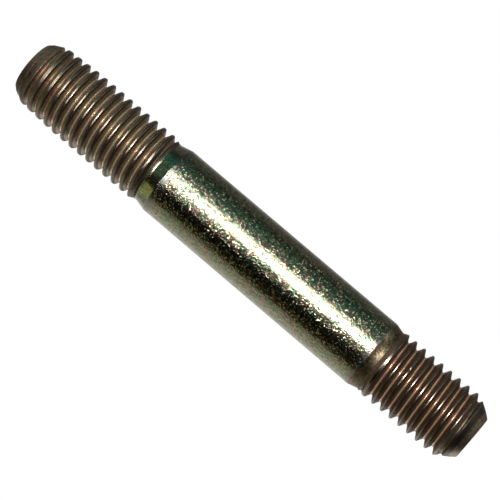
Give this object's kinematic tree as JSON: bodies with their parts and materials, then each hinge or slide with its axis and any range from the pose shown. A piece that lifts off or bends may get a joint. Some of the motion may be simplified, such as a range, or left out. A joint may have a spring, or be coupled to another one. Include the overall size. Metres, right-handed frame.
{
  "type": "double ended stud",
  "caption": "Steel stud with a full-diameter shank between a short threaded tap end and a longer threaded nut end, both chamfered.",
  "frame": {"origin": "centre of the tap end's face, which it stands on", "axes": "+Z along the stud from the tap end to the nut end"},
  "size_m": [0.012, 0.012, 0.09],
  "materials": {
    "chromated_steel": "zinc plate with yellow-olive chromate, glossy and slightly mottled"
  },
  "bodies": {
    "root": {"stud": "chromated_steel"}
  },
  "joints": []
}
